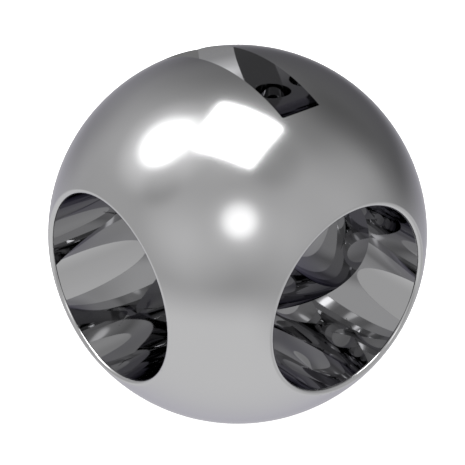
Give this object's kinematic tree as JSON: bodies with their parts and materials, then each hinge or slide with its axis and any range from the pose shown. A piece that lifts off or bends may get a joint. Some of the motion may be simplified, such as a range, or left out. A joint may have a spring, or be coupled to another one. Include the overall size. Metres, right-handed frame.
{
  "type": "floating valve ball",
  "caption": "Polished steel valve ball with bores that meet at a right angle inside, a slot across the top for the stem's tang and a vent hole in the slot.",
  "frame": {"origin": "centre of the sealing sphere, where the axes of both bores and the stem meet", "axes": "+Z along the stem's axis, out of the slot; +X out of the side port and along the slot; -Y out of the main port"},
  "size_m": [0.0471, 0.0471, 0.0506],
  "materials": {
    "steel": "finely polished outside, bright machined bores and slot"
  },
  "bodies": {
    "root": {"ball": "steel"}
  },
  "joints": []
}
